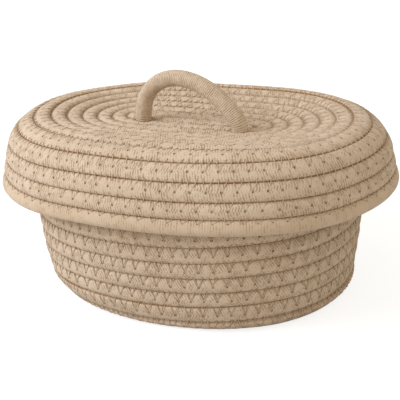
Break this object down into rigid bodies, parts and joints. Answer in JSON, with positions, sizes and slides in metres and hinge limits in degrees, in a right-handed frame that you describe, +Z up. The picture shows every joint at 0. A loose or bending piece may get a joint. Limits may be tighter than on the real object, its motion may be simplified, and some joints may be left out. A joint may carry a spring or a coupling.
{
  "type": "lidded rope basket",
  "caption": "Oval basket of coiled cotton rope with a flared lift-off lid of the same coiled rope and a rope arch handle knotted under the lid.",
  "frame": {"origin": "on the floor under the middle of the oval base", "axes": "+X along the oval's length, +Y to the back, +Z up; the front seen in the picture faces -Y"},
  "size_m": [0.2694, 0.2048, 0.1473],
  "materials": {
    "cotton_rope": "matt braided cotton",
    "cotton_handle_rope": "matt braided cotton"
  },
  "bodies": {
    "basket": {"basket_rope": "cotton_rope"},
    "lid": {"lid_rope": "cotton_rope", "handle_tail_left": "cotton_handle_rope", "handle_tail_right": "cotton_handle_rope"},
    "handle": {"handle_rope": "cotton_handle_rope"}
  },
  "joints": [
    {"name": "lid_lift", "type": "slide", "parent": "basket", "child": "lid", "axis": [0, 0, 1], "range_m": [0, 0.12]},
    {"name": "handle_tilt", "type": "hinge", "parent": "lid", "child": "handle", "pos_m": [0.00357, -0.01294, 0.11471], "axis": [0.9916, -0.1269, -0.025], "range_deg": [-60, 60], "stiffness_Nm_per_rad": 0.02}
  ]
}
